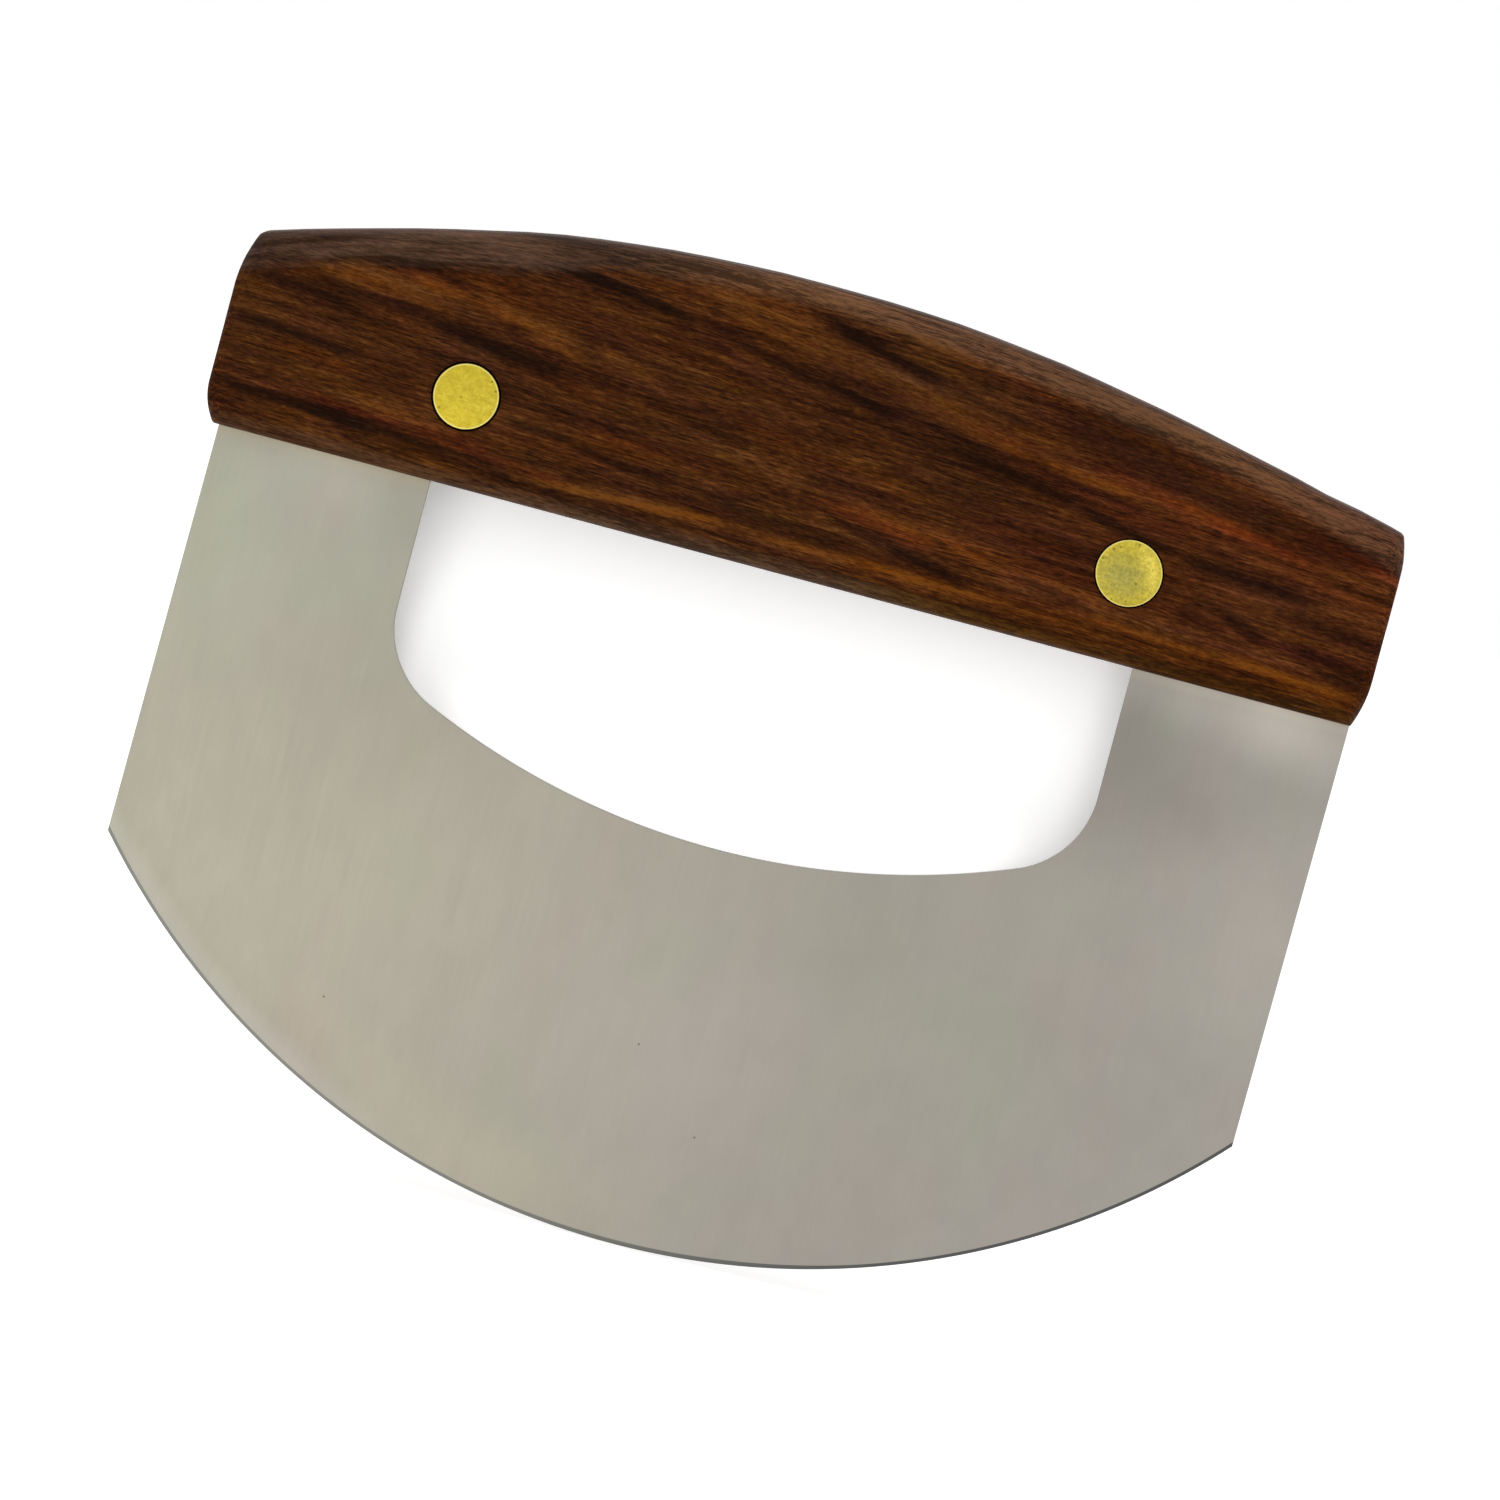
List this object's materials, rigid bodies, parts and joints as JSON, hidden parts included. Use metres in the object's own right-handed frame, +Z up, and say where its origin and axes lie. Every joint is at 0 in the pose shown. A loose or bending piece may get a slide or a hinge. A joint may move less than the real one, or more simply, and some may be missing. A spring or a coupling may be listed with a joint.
{
  "type": "bowl chopper",
  "caption": "Bowl chopper: a curved steel blade with a D-shaped finger opening, riveted with brass into the slot of a crowned walnut handle.",
  "frame": {"origin": "the lowest point of the cutting edge, midway along the handle and midway through its thickness, so the chopper stands upright on its edge", "axes": "+X along the handle, +Y through its thickness, +Z up from the edge to the handle's crown"},
  "size_m": [0.1556, 0.019, 0.1278],
  "materials": {
    "walnut": "oiled, satin, with the grain along the handle",
    "steel": "fine satin grind, square to the handle",
    "brass": "ground flush with the wood, with fine scratches"
  },
  "bodies": {
    "root": {"handle": "walnut", "blade": "steel", "left_rivet_male": "brass", "left_rivet_female": "brass", "right_rivet_male": "brass", "right_rivet_female": "brass"}
  },
  "joints": []
}
